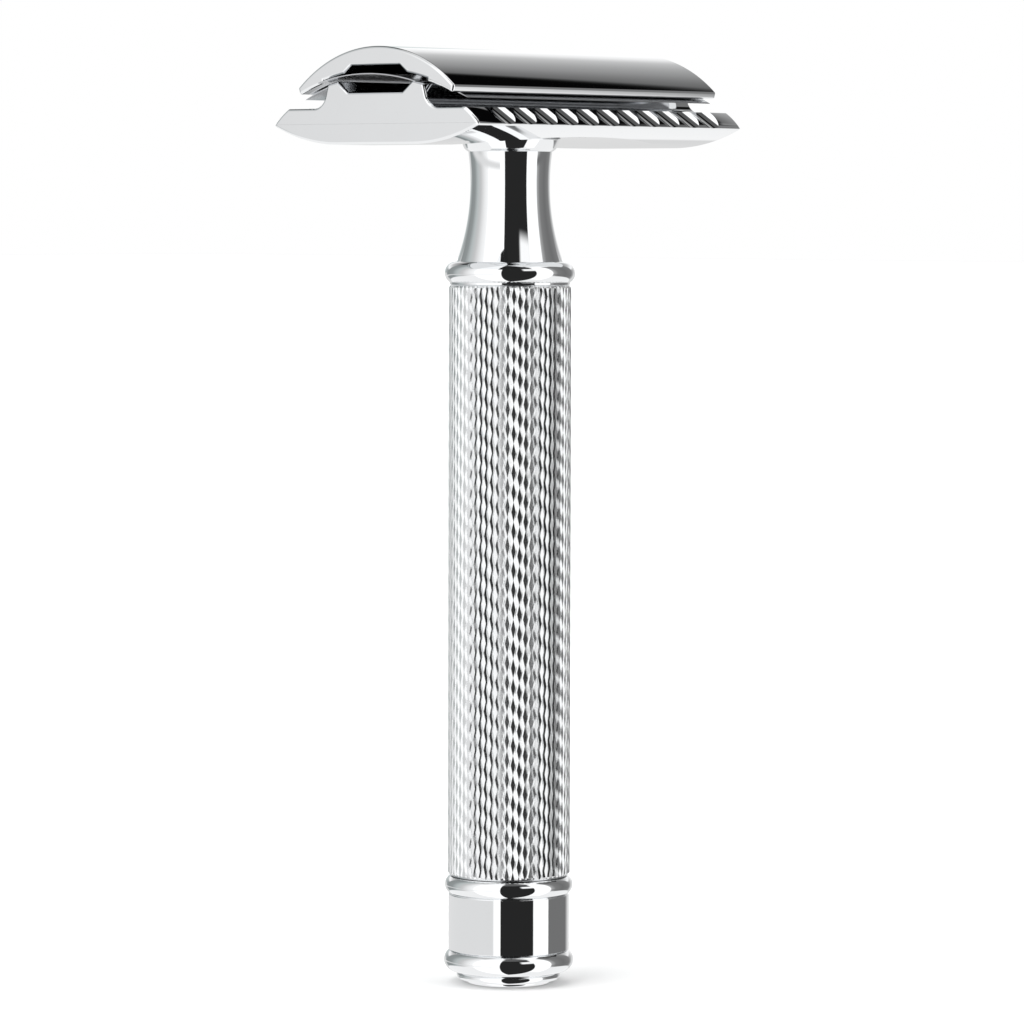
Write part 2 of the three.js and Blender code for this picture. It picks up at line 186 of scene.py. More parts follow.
# ---- Base plate ----
PLATE_FLAT_Y = 5.0
PLATE_TIP_Z = 87.0
PLATE_TIP_BLUNT = 0.14
PLATE_TIP_ROUND = 0.12
UNDER_STEPS = 40
BAR_BULGE = 0.1
BAR_STEPS = 24
SHOULDER_Y = 11.8
SHOULDER_Z = 88.72
SHOULDER_ROUND = 0.42
SHOULDER_START_Y = 8.35
RIDGE_FILLET = 1.7
RIDGE_WALL_ANGLE = 200
RIDGE_EDGE_Y = 6.4
RIDGE_CREST_Y = 5.0
RIDGE_CREST_ROUND = 0.35
RIDGE_EDGE_ROUND = 0.3
RIDGE_STEPS = 6
RIDGE_GAP = 0.1
TROUGH_Y = 3.62
TROUGH_Z = 90.27
TROUGH_ROUND = 0.35
SEAT_RADIUS = 5.08
SEAT_Z = 86.0
RELIEF_LENGTH = 30.0
RELIEF_Z = 85.99
PLATE_BORE = 2.7
POST_SOCKET = 1.3
POST_SOCKET_Z = 86.9
SCALLOPS = 11
SCALLOP_PITCH = 3.14
SCALLOP_WIDTH = 3.12
SCALLOP_DEPTH = 0.36
SCALLOP_TILT = 8
SCALLOP_STEPS = 32
# The cutter's reach past the middle of the outermost flutes, and out past the bar.
SCALLOP_RUN_OUT = 2.4
SCALLOP_CLEAR = 1.6

# ---- Rounding ----
END_FILLET = 0.3
LEAST_RADIUS = 0.01
# Where soften() looks along an outline for a corner's two sides, and the room it clears.
CORNER_SIDE = 0.02
CORNER_ROOM = 0.03


# ---------------------------------------------------------------------------------------
# The CAD's own boxes, in millimetres
# ---------------------------------------------------------------------------------------


def box_mm(node):
    low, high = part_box(node)
    return low / MM, high / MM


_, FOOT_HIGH = box_mm("end_cap")
BAND_LOW, BAND_HIGH = box_mm("pommel_band")
RING_LOW, RING_HIGH = box_mm("pommel_ring")
GRIP_LOW, GRIP_HIGH = box_mm("grip_sleeve")
COLLAR_LOW, COLLAR_HIGH = box_mm("collar_ring")
NECK_LOW, NECK_HIGH = box_mm("neck")
SCREW_LOW, SCREW_HIGH = box_mm("tie_screw")
PLATE_LOW, PLATE_HIGH = box_mm("base_plate")
BLADE_LOW, BLADE_HIGH = box_mm("razor_blade")
CAP_LOW, CAP_HIGH = box_mm("top_cap")
STUD_LOW, STUD_HIGH = box_mm("cap_stud")


# ---------------------------------------------------------------------------------------
# Outlines
# ---------------------------------------------------------------------------------------


def spread(steps, make_point):
    return [make_point(i / steps) for i in range(steps + 1)]


def arc(centre_a, centre_b, radius, start, end, steps=ARC_STEPS):
    """Points on an arc between two angles in degrees."""

    def point(t):
        angle = math.radians(start + (end - start) * t)
        return (centre_a + radius * math.cos(angle), centre_b + radius * math.sin(angle))

    return spread(steps, point)


def soften(outline, closed=True, rows=False):
    """Rounds the corners of an outline of (a, b) or (a, b, radius) points. A corner's arc may
    reach past the points next to it, and takes their place. With rows it gives one row per
    point: a, b, arc's radius, corner's a and b, the way in from the corner divided by the
    half angle's sine, and whether the corner is convex."""
    points = [np.array(p[:2], float) for p in outline]
    radii = [p[2] if len(p) > 2 else 0.0 for p in outline]
    loop = points + [points[0]] if closed else points
    at = np.concatenate([[0.0], np.cumsum([np.linalg.norm(b - a) for a, b in zip(loop, loop[1:])])])
    total = at[-1]

    def along(s):
        s = s % total if closed else min(max(s, 0.0), total)
        k = min(int(np.searchsorted(at, s, side="right")) - 1, len(loop) - 2)
        share = (s - at[k]) / max(at[k + 1] - at[k], 1e-12)
        return loop[k] + (loop[k + 1] - loop[k]) * share

    keep, corners = [], []
    for i, radius in enumerate(radii):
        if radius:
            back = along(at[i] - CORNER_SIDE) - points[i]
            ahead = along(at[i] + CORNER_SIDE) - points[i]
            back, ahead = back / np.linalg.norm(back), ahead / np.linalg.norm(ahead)
            half = math.acos(max(-1.0, min(1.0, float(back @ ahead)))) / 2
            convex = back[1] * ahead[0] - back[0] * ahead[1] > 0
            into = (back + ahead) / np.linalg.norm(back + ahead) / math.sin(half)
            reach = radius / math.tan(half)
            spare = max(0.0, END_FILLET - radius) / math.tan(half) if convex else 0.0
            room = reach + (spare + CORNER_ROOM)
            corners.append((at[i], reach, room, math.sin(half), points[i], radius, into, convex))
    for i, radius in enumerate(radii):
        apart = [abs((at[i] - c[0] + total / 2) % total - total / 2) > c[2] for c in corners]
        if not radius and all(apart):
            keep.append((at[i], [*points[i], 0, 0, 0, 0, 0, 0]))
    for s, reach, _, weight, corner, radius, into, convex in corners:
        first, last = along(s - reach), along(s + reach)
        for k in range(FILLET_STEPS + 1):
            u = k / FILLET_STEPS
            a, b, c = (1 - u) ** 2, 2 * weight * u * (1 - u), u**2
            point = (a * first + b * corner + c * last) / (a + b + c)
            keep.append((s + reach * (2 * u - 1), [*point, radius, *corner, *into, convex]))
    keep.sort(key=lambda e: e[0])
    return [row if rows else row[:2] for _, row in keep]


def mirrored(half):
    """A closed counterclockwise section from its +Y half, given from the middle of the
    underside up and round to the middle of the top."""
    return half + [(-p[0], *p[1:]) for p in reversed(half[1:-1])]


def blade_z(y):
    return BLADE_CREST_Z - BLADE_BEND_RADIUS + math.sqrt(BLADE_BEND_RADIUS**2 - y**2)


def along_blade(start, end, lift, steps=ARC_STEPS):
    def point(t):
        y = start + (end - start) * t
        return (y, blade_z(y) + lift)

    return spread(steps, point)


# ---------------------------------------------------------------------------------------
# Meshes
# ---------------------------------------------------------------------------------------


def piece(name, vertices, faces, sharp=None):
    """A smooth-shaded object from millimetre vertices."""
    mesh = bpy.data.meshes.new(name)
    mesh.from_pydata([tuple(float(c) * MM for c in v) for v in vertices], [], faces)
    mesh.validate()
    shape = bmesh.new()
    shape.from_mesh(mesh)
    bmesh.ops.recalc_face_normals(shape, faces=shape.faces)
    shape.to_mesh(mesh)
    shape.free()
    mesh.shade_smooth()
    if sharp:
        mesh.set_sharp_from_angle(angle=math.radians(sharp))
    obj = bpy.data.objects.new(name, mesh)
    SCENE.collection.objects.link(obj)
    return obj


def turned(name, profile, sides=TURN_SIDES, closed=False, sharp=SMOOTH):
    """A profile of (radius, z) turned about Z. It is counterclockwise, and it either closes on
    itself or runs from the axis to the axis."""
    vertices, rings = [], []
    for radius, z in profile:
        start = len(vertices)
        if radius < 1e-6:
            vertices.append((0, 0, z))
            rings.append([start] * sides)
            continue
        for i in range(sides):
            angle = 2 * math.pi * i / sides
            vertices.append((radius * math.cos(angle), radius * math.sin(angle), z))
        rings.append(list(range(start, start + sides)))
    faces = []
    pairs = list(zip(rings, rings[1:]))
    if closed:
        pairs.append((rings[-1], rings[0]))
    for low, high in pairs:
        for i in range(sides):
            j = (i + 1) % sides
            face = [low[i], low[j], high[j], high[i]]
            unique = [v for k, v in enumerate(face) if v not in face[:k]]
            if len(unique) > 2:
                faces.append(unique)
    return piece(name, vertices, faces, sharp)


def inset(rows, depth):
    """The outline moved inwards. An arc shrinks as it goes, and once it is used up it slides
    along its corner's bisector."""
    points = rows[:, :2]
    after, before = np.roll(points, -1, 0) - points, points - np.roll(points, 1, 0)
    after /= np.linalg.norm(after, axis=1)[:, None]
    before /= np.linalg.norm(before, axis=1)[:, None]
    out_a = np.stack([after[:, 1], -after[:, 0]], 1)
    out_b = np.stack([before[:, 1], -before[:, 0]], 1)
    miter = (out_a + out_b) / (1 + (out_a * out_b).sum(1))[:, None]
    moved = points - miter * depth
    for i, (a, b, radius, corner_a, corner_b, in_a, in_b, convex) in enumerate(rows):
        if not radius:
            continue
        corner, into, point = np.array((corner_a, corner_b)), np.array((in_a, in_b)), points[i]
        centre = corner + into * radius
        outward = (point - centre) / np.linalg.norm(point - centre) * (1 if convex else -1)
        left = radius - depth
        if convex and left < LEAST_RADIUS:
            moved[i] = centre + into * (LEAST_RADIUS - left) + outward * LEAST_RADIUS
        else:
            moved[i] = point - outward * depth
    return moved


def swept(name, section, length, fillet=END_FILLET, sharp=SMOOTH):
    """A closed counterclockwise section, as rows from soften(), drawn along X with filleted
    ends."""
    rows = np.array(section, float)

    def end(t):
        """A place along X, and how far in the outline lies there."""
        angle = math.pi / 2 * t
        return (length / 2 - fillet + fillet * math.cos(angle), fillet * (1 - math.sin(angle)))

    ends = spread(END_STEPS, end) if fillet else [(length / 2, 0.0)]
    stations = [(-x, depth) for x, depth in ends] + [(x, depth) for x, depth in reversed(ends)]
    vertices, faces, count = [], [], len(rows)
    for x, depth in stations:
        vertices += [(x, y, z) for y, z in (inset(rows, depth) if depth else rows[:, :2])]
    for k in range(len(stations) - 1):
        for i in range(count):
            j = (i + 1) % count
            a, b = k * count, (k + 1) * count
            faces.append([a + i, a + j, b + j, b + i])
    faces.append(list(reversed(range(count))))
    faces.append([(len(stations) - 1) * count + i for i in range(count)])
    return piece(name, vertices, faces, sharp)


def prism(name, outline, low, high, axes):
    """A closed outline carried from low to high, with axes giving its two directions and the
    third along which it is carried, as vectors."""
    along_a, along_b, along_c = (np.array(v, float) for v in axes)
    vertices, count = [], len(outline)
    for level in (low, high):
        vertices += [along_a * p[0] + along_b * p[1] + along_c * level for p in outline]
    faces = [list(reversed(range(count))), list(range(count, 2 * count))]
    for i in range(count):
        j = (i + 1) % count
        faces.append([i, j, count + j, count + i])
    return piece(name, vertices, faces)


def upright(radius, low, high, x=0.0, sides=BORE_SIDES):
    turns = [2 * math.pi * i / sides for i in range(sides)]
    outline = [(radius * math.cos(turn), radius * math.sin(turn)) for turn in turns]
    obj = prism("cutter", outline, low, high, UPRIGHT)
    obj.data.transform(Matrix.Translation((x * MM, 0, 0)))
    return obj


def block(x_low, x_high, y_low, y_high, z_low, z_high):
    outline = [(x_low, y_low), (x_high, y_low), (x_high, y_high), (x_low, y_high)]
    return prism("cutter", outline, z_low, z_high, UPRIGHT)


def joined(objects):
    """One object from several, whose solids don't overlap."""
    target = objects[0]
    with bpy.context.temp_override(active_object=target, selected_editable_objects=objects):
        bpy.ops.object.join()
    return target


def combine(target, other, operation):
    """A boolean of two solids, kept in the first. The second is used up."""
    modifier = target.modifiers.new("shape", "BOOLEAN")
    modifier.operation = operation
    modifier.solver = "EXACT"
    modifier.object = other
    bpy.context.view_layer.update()
    graph = bpy.context.evaluated_depsgraph_get()
    mesh = bpy.data.meshes.new_from_object(target.evaluated_get(graph))
    target.modifiers.clear()
    target.data = mesh
    bpy.data.objects.remove(other)


def settle(obj, sharp=SMOOTH):
    """Smooth shading that keeps corners crisp and flats flat."""
    obj.data.shade_smooth()
    obj.data.set_sharp_from_angle(angle=math.radians(sharp))
    modifier = obj.modifiers.new("normals", "WEIGHTED_NORMAL")
    modifier.keep_sharp = True
    modifier.weight = 100
    return obj


# ---------------------------------------------------------------------------------------
# Materials
# ---------------------------------------------------------------------------------------


def new_material(name, colour, roughness):
    material = bpy.data.materials.new(name)
    material.use_nodes = True
    nodes = material.node_tree.nodes
    shader = nodes["Principled BSDF"]
    shader.inputs["Metallic"].default_value = 1.0
    shader.inputs["Base Color"].default_value = (*colour, 1)
    shader.inputs["Roughness"].default_value = roughness
    return material, nodes, material.node_tree.links, shader


HAZE_SCALE = 260
HAZE_DARKEST = 0.97
MARKS_SCALE = 9000
MARKS_HEIGHT = 0.00001


def chrome(name, colour, roughness, haze, scratch, scale=(1.0, 1.0, 1.0)):
    """Polished plating: a faint haze in the roughness, a hint of colour drift, and hairline
    polishing marks."""
    material, nodes, links, shader = new_material(name, colour, roughness)
    coords = nodes.new("ShaderNodeTexCoord")
    place = nodes.new("ShaderNodeMapping")
    place.inputs["Scale"].default_value = scale
    links.new(coords.outputs["Object"], place.inputs["Vector"])

    haze_noise = nodes.new("ShaderNodeTexNoise")
    haze_noise.inputs["Scale"].default_value = HAZE_SCALE
    haze_noise.inputs["Detail"].default_value = 3
    links.new(place.outputs["Vector"], haze_noise.inputs["Vector"])
    haze_range = nodes.new("ShaderNodeMapRange")
    haze_range.inputs["To Min"].default_value = roughness
    haze_range.inputs["To Max"].default_value = roughness + haze
    links.new(haze_noise.outputs["Fac"], haze_range.inputs["Value"])
    links.new(haze_range.outputs["Result"], shader.inputs["Roughness"])

    drift = nodes.new("ShaderNodeValToRGB")
    drift.color_ramp.elements[0].color = (*[c * HAZE_DARKEST for c in colour], 1)
    drift.color_ramp.elements[1].color = (*colour, 1)
    links.new(haze_noise.outputs["Fac"], drift.inputs["Fac"])
    links.new(drift.outputs["Color"], shader.inputs["Base Color"])

    marks = nodes.new("ShaderNodeTexNoise")
    marks.inputs["Scale"].default_value = MARKS_SCALE
    marks.inputs["Detail"].default_value = 2
    links.new(place.outputs["Vector"], marks.inputs["Vector"])
    bump = nodes.new("ShaderNodeBump")
    bump.inputs["Strength"].default_value = scratch
    bump.inputs["Distance"].default_value = MARKS_HEIGHT
    links.new(marks.outputs["Fac"], bump.inputs["Height"])
    links.new(bump.outputs["Normal"], shader.inputs["Normal"])
    return material


CHROME_COLOUR = (0.86, 0.87, 0.88)
STEEL_COLOUR = (0.62, 0.63, 0.65)

polished = chrome("polished_chrome", CHROME_COLOUR, 0.02, 0.02, 0.02, (1, 1, 0.15))
head_polish = chrome("head_chrome", CHROME_COLOUR, 0.02, 0.02, 0.02, (0.15, 1, 1))
knurled = chrome("knurled_chrome", CHROME_COLOUR, 0.22, 0.08, 0.05)
ground = chrome("blade_steel", STEEL_COLOUR, 0.14, 0.08, 0.25, (0.06, 1, 1))
machined = chrome("plain_steel", STEEL_COLOUR, 0.28, 0.1, 0.2, (1, 1, 0.3))


def dress(obj, material, body, node):
    obj.data.materials.clear()
    obj.data.materials.append(material)
    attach(obj, body)
    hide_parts(node)


# ---------------------------------------------------------------------------------------
# Handle
# ---------------------------------------------------------------------------------------


def make_foot():
    top_z, plug_z = BAND_LOW.z, FOOT_HIGH.z
    profile = [(0, 0), *arc(*FOOT_ROLL), *arc(*FOOT_STEP), *arc(*LOWER_BEAD, steps=BEAD_STEPS)]
    profile += [(SCREW_HEAD_RADIUS, top_z), (SCREW_HEAD_RADIUS, plug_z), (0, plug_z)]
    return settle(turned("stepped_foot", profile), SMOOTH_TURNED)


def make_band():
    radius, low, high, top = BAND_HIGH.x, BAND_LOW.z, RING_LOW.z, BAND_HIGH.z
    counterbore, clearance = SCREW_HEAD_RADIUS + FIT, SCREW_RADIUS + FIT
    shelf = SCREW_LOW.z + SCREW_HEAD_HEIGHT
    spigot = TUBE_BORE - FIT
    profile = soften(
        [
            (counterbore, low),
            (radius, low, BAND_ROUND),
            (radius, high, BAND_ROUND),
            (spigot, high),
            (spigot, top, SPIGOT_ROUND),
            (clearance, top),
            (clearance, shelf),
            (counterbore, shelf),
        ],
        closed=True,
    )
    return settle(turned("pommel_sleeve", profile, closed=True), SMOOTH_TURNED)


def make_ring(name, low, high, bead):
    outer = arc(*bead, steps=BEAD_STEPS)
    profile = [(TUBE_BORE, low), (outer[0][0], low), *outer, (TUBE_BORE, high)]
    return settle(turned(name, profile, closed=True), SMOOTH_TURNED)


def make_neck():
    centre = NECK_WAIST_RADIUS + NECK_SWEEP_RADIUS
    low, top = NECK_LOW.z, NECK_HIGH.z
    seam, flange = COLLAR_HIGH.z, NECK_HIGH.x
    spigot, screw, stud = TUBE_BORE - FIT, SCREW_RADIUS + FIT, THREAD_RADIUS + FIT
    floor = NECK_WEB_Z + NECK_WEB_THICKNESS

    def sweep(t):
        z = seam + (FLANGE_Z - seam) * t
        return (centre - math.sqrt(NECK_SWEEP_RADIUS**2 - (z - NECK_WAIST_Z) ** 2), z)

    profile = soften(
        [
            (0, NECK_WEB_Z),
            (screw, NECK_WEB_Z),
            (screw, low),
            (spigot, low, SPIGOT_ROUND),
            (spigot, seam),
            *spread(NECK_STEPS, sweep),
            *arc(*FLANGE_ROLL, steps=FLANGE_STEPS),
            (flange, top, FLANGE_ROUND),
            (stud + NECK_MOUTH_CHAMFER, top),
            (stud, top - NECK_MOUTH_CHAMFER),
            (stud, floor),
            (0, floor),
        ],
        closed=False,
    )
    return settle(turned("waisted_neck", profile), SMOOTH_TURNED)


def make_screw():
    low, top = SCREW_LOW.z, SCREW_HIGH.z
    shelf = low + SCREW_HEAD_HEIGHT
    profile = soften(
        [
            (0, low + DRIVE_POINT_DEPTH),
            (DRIVE_RADIUS, low + DRIVE_DEPTH),
            (DRIVE_RADIUS, low),
            (SCREW_HEAD_RADIUS, low, SCREW_HEAD_ROUND),
            (SCREW_HEAD_RADIUS, shelf, SCREW_SHELF_ROUND),
            (SCREW_RADIUS, shelf),
            (SCREW_RADIUS, top - SCREW_CHAMFER),
            (SCREW_RADIUS - SCREW_CHAMFER, top),
            (0, top),
        ],
        closed=False,
    )
    return settle(turned("long_screw", profile, sides=SMALL_SIDES), SMOOTH_TURNED)


def top_width(column, turns):
    """Half the width of a diamond's flat top, as a share of its column, so many pitches up.
    Every column starts a quarter of a pitch from the one before it."""
    phase = (turns + column / 4) % 1
    return KNURL_NARROW + (KNURL_WIDE - KNURL_NARROW) * abs(2 * phase - 1)


def make_grip():
    """A tube of upright columns of diamonds with zigzag V grooves between them. The mesh's own
    columns follow the edges of the tops and the bottoms of the grooves."""
    radius, low, high = GRIP_HIGH.x, GRIP_LOW.z, GRIP_HIGH.z
    rows = round((high - low) / (KNURL_PITCH / KNURL_STEPS))
    sides = 4 * KNURL_COLUMNS
    vertices, faces = [], []
    for k in range(rows + 1):
        z = low + (high - low) * k / rows
        chamfer = radius - GRIP_CHAMFER + GRIP_CHAMFER_SLOPE * min(z - low, high - z)
        widths = [top_width(column, k / KNURL_STEPS) for column in range(KNURL_COLUMNS)]
        for column, width in enumerate(widths):
            gap = 1 - width - widths[(column + 1) % KNURL_COLUMNS]
            bottom = radius - KNURL_DEPTH - KNURL_DEPTH_RISE * gap
            top = [(-width, radius), (0, radius), (width, radius)]
            for across, r in (*top, (width + gap / 2, bottom)):
                angle = 2 * math.pi * (column + across) / KNURL_COLUMNS
                r = min(r, chamfer)
                vertices.append((r * math.cos(angle), r * math.sin(angle), z))
    for k in range(rows):
        for i in range(sides):
            j = (i + 1) % sides
            a, b = k * sides, (k + 1) * sides
            faces.append([a + i, a + j, b + j, b + i])
    inner, last = len(vertices), rows * sides
    for z in (low, high):
        for i in range(sides):
            angle = 2 * math.pi * i / sides
            vertices.append((TUBE_BORE * math.cos(angle), TUBE_BORE * math.sin(angle), z))
    for i in range(sides):
        j = (i + 1) % sides
        a, b = inner, inner + sides
        faces.append([i, a + i, a + j, j])
        faces.append([last + i, last + j, b + j, b + i])
        faces.append([a + i, b + i, b + j, a + j])
    return piece("knurled_grip", vertices, faces, sharp=SMOOTH_FACETS)


# ---------------------------------------------------------------------------------------
# Head
# ---------------------------------------------------------------------------------------


def make_blade():
    edge_y, length = BLADE_HIGH.y, BLADE_HIGH.x - BLADE_LOW.x
    stops = [0, BLADE_HONED_REACH, BLADE_GROUND_REACH]
    halves = [BLADE_EDGE_HALF, BLADE_HONED_HALF, BLADE_THICKNESS / 2]

    def skin(y):
        """Half the thickness at y: two ground facets run out to a fine edge."""
        return float(np.interp(edge_y - abs(y), stops, halves))

    ys = [edge_y - reach for reach in stops]
    ys += [ys[-1] * (1 - i / BLADE_STEPS) for i in range(1, BLADE_STEPS + 1)]
    lower = [(y, blade_z(y) - skin(y)) for y in reversed(ys)]
    upper = [(y, blade_z(y) + skin(y)) for y in ys]
    section = soften(mirrored(lower + upper), rows=True)
    blade = swept("ground_blade", section, length, fillet=0, sharp=SMOOTH_FACETS)
    low, high = blade_z(edge_y) - CUT_PAST, BLADE_CREST_Z + CUT_PAST
    cutters = []
    for end_x in (-1, 1):
        for end_y in (-1, 1):
            xs = sorted((end_x * BLADE_EDGE_LENGTH / 2, end_x * (length / 2 + CUT_PAST)))
            ys = sorted((end_y * BLADE_TAB_WIDTH / 2, end_y * (edge_y + CUT_PAST)))
            cutters.append(block(*xs, *ys, low, high))
    combine(blade, joined(cutters), "DIFFERENCE")
    slot_x, slot_y = BLADE_SLOT_LENGTH / 2, BLADE_SLOT_WIDTH / 2
    combine(blade, block(-slot_x, slot_x, -slot_y, slot_y, low, high), "DIFFERENCE")
    holes = [upright(BLADE_CENTRE_HOLE, low, high)]
    holes += [upright(BLADE_POST_HOLE, low, high, side * POST_SPACING / 2) for side in (-1, 1)]
    combine(blade, joined(holes), "DIFFERENCE")
    return settle(blade, SMOOTH_BLADE)


def bar_frame():
    """A safety bar's outer face: its top, its tip, and the directions along it and out of it."""
    shoulder = np.array((SHOULDER_Y, SHOULDER_Z))
    tip = np.array((PLATE_HIGH.y, PLATE_TIP_Z + PLATE_TIP_BLUNT))
    along = (tip - shoulder) / np.linalg.norm(tip - shoulder)
    return shoulder, tip, along, np.array((-along[1], along[0]))


def make_plate():
    """The plate without its flutes, and the two combs of cutters for them."""
    tip_y, bottom = PLATE_HIGH.y, PLATE_LOW.z
    run, rise = tip_y - PLATE_FLAT_Y, PLATE_TIP_Z - bottom
    under_radius = (run**2 + rise**2) / (2 * rise)
    shoulder, tip, along, outward = bar_frame()

    def under(t):
        y = run * t
        return (PLATE_FLAT_Y + y, bottom + under_radius - math.sqrt(under_radius**2 - y**2))

    def bar(t):
        return tuple(shoulder + (tip - shoulder) * t + outward * 4 * BAR_BULGE * t * (1 - t))

    face = spread(BAR_STEPS, bar)
    ridge_drop = -(BLADE_THICKNESS / 2 + RIDGE_GAP)
    fillet = arc(SHOULDER_START_Y, SHOULDER_Z + RIDGE_FILLET, RIDGE_FILLET, RIDGE_WALL_ANGLE, 270)
    ridge = along_blade(RIDGE_CREST_Y, RIDGE_EDGE_Y, ridge_drop, RIDGE_STEPS)
    ridge[0], ridge[-1] = (*ridge[0], RIDGE_CREST_ROUND), (*ridge[-1], RIDGE_EDGE_ROUND)
    top_down = [(0, TROUGH_Z), (TROUGH_Y, TROUGH_Z, TROUGH_ROUND), *ridge, *fillet]
    top_down += [(*face[0], SHOULDER_ROUND), *face[1:-1]]
    top_down += [(tip_y, PLATE_TIP_Z + PLATE_TIP_BLUNT / 2, PLATE_TIP_ROUND)]
    half = [(0, bottom), *spread(UNDER_STEPS, under)[:-1], *reversed(top_down)]
    plate = swept("scalloped_plate", soften(mirrored(half), rows=True), PLATE_HIGH.x - PLATE_LOW.x)

    middle, half_length = (shoulder + tip) / 2, np.linalg.norm(tip - shoulder) / 2
    tilt = math.radians(SCALLOP_TILT)
    cos, sin = math.cos(tilt), math.sin(tilt)
    along, outward = (
        np.array((v[0] * cos - v[1] * sin, v[0] * sin + v[1] * cos)) for v in (along, outward)
    )
    radius = (SCALLOP_WIDTH**2 / 4 + SCALLOP_DEPTH**2) / (2 * SCALLOP_DEPTH)
    floor = BAR_BULGE - SCALLOP_DEPTH
    last = SCALLOP_PITCH * (SCALLOPS - 1) / 2
    outline = []
    for i in range(SCALLOPS):
        centre = i * SCALLOP_PITCH - last
        start = -SCALLOP_RUN_OUT if i == 0 else -SCALLOP_PITCH / 2
        end = SCALLOP_RUN_OUT if i == SCALLOPS - 1 else SCALLOP_PITCH / 2
        for x in np.linspace(start, end, SCALLOP_STEPS + 1)[min(i, 1) :]:
            outline.append((centre + x, floor + radius - math.sqrt(radius**2 - x**2)))
    edge = last + SCALLOP_RUN_OUT
    outline += [(edge, SCALLOP_CLEAR), (-edge, SCALLOP_CLEAR)]
    cutters = []
    for side in (-1, 1):
        out = (0, side * outward[0], outward[1])
        up = (0, -side * along[0], -along[1])
        reach = half_length + CUT_PAST
        flutes = prism("cutter", outline, -reach, reach, ((side, 0, 0), out, up))
        flutes.data.transform(Matrix.Translation((0, side * middle[0] * MM, middle[1] * MM)))
        cutters.append(flutes)
    return plate, cutters


def under_relief():
    """A shallow arch across the underside, a hair lower than the flange's seat in the middle."""
    half, rise = RELIEF_LENGTH / 2, RELIEF_Z - PLATE_LOW.z
    radius = (half**2 + rise**2) / (2 * rise)

    def arch(t):
        x = half * (1 - 2 * t)
        return (x, RELIEF_Z - radius + math.sqrt(radius**2 - x**2))

    floor_z = PLATE_LOW.z - CUT_PAST
    outline = [(-half, floor_z), (half, floor_z), *spread(LONG_STEPS, arch)]
    return prism("cutter", outline, -PLATE_HIGH.y, PLATE_HIGH.y, CROSSWAYS)


def finish_plate():
    plate, cutters = make_plate()
    combine(plate, joined(cutters), "DIFFERENCE")
    low, high = PLATE_LOW.z - CUT_PAST, TROUGH_Z + CUT_PAST
    combine(plate, under_relief(), "DIFFERENCE")
    combine(plate, upright(SEAT_RADIUS, low, SEAT_Z, sides=TURN_SIDES), "DIFFERENCE")
    holes = [upright(PLATE_BORE, low, high)]
    holes += [upright(POST_SOCKET, POST_SOCKET_Z, high, side * POST_SPACING / 2) for side in (-1, 1)]
    combine(plate, joined(holes), "DIFFERENCE")
    return settle(plate, SMOOTH_PLATE)


def make_cap():
    top, length = CAP_HIGH.z, CAP_HIGH.x - CAP_LOW.x
    rise = top - CAP_EDGE_TOP_Z
    crown_radius = (CAP_EDGE_Y**2 + rise**2) / (2 * rise)
    crown_angle = math.asin(CAP_EDGE_Y / crown_radius)

    def crown(t):
        angle = t * crown_angle
        return (crown_radius * math.sin(angle), top - crown_radius * (1 - math.cos(angle)))

    lift = BLADE_THICKNESS / 2 + CAP_GAP
    edge = along_blade(CAP_CORNER_Y, TAB_RECESS_Y, lift)
    edge[0] = (*edge[0], CAP_CORNER_ROUND)
    recess = along_blade(TAB_RECESS_Y, CHANNEL_MOUTH_Y, lift + TAB_RECESS_DEPTH)
    recess[-1] = (*recess[-1], CHANNEL_MOUTH_ROUND)
    arch = spread(LONG_STEPS, crown)
    arch[-1] = (*arch[-1], CAP_EDGE_ROUND)
    channel = [(CHANNEL_Y, CHANNEL_Z, CHANNEL_ROUND), (0, CHANNEL_Z)]
    half = list(reversed([*arch, *edge, *recess, *channel]))
    cap = swept("arched_cap", soften(mirrored(half), rows=True), length)
    stud_top = STUD_HIGH.z
    additions = [upright(BOSS_RADIUS, BOSS_Z, stud_top)]
    post_side = [(POST_RADIUS, POST_BOTTOM_Z, POST_ROUND), (POST_RADIUS, stud_top)]
    post_profile = soften([(0, POST_BOTTOM_Z), *post_side, (0, stud_top)], closed=False)
    for side in (-1, 1):
        post = turned("cutter", post_profile, sides=POST_SIDES)
        post.data.transform(Matrix.Translation((side * POST_SPACING / 2 * MM, 0, 0)))
        additions.append(post)
    combine(cap, joined(additions), "UNION")
    combine(cap, upright(THREAD_RADIUS + FIT, BOSS_Z - CUT_PAST, stud_top + FIT), "DIFFERENCE")
    return settle(cap, SMOOTH_CAP)


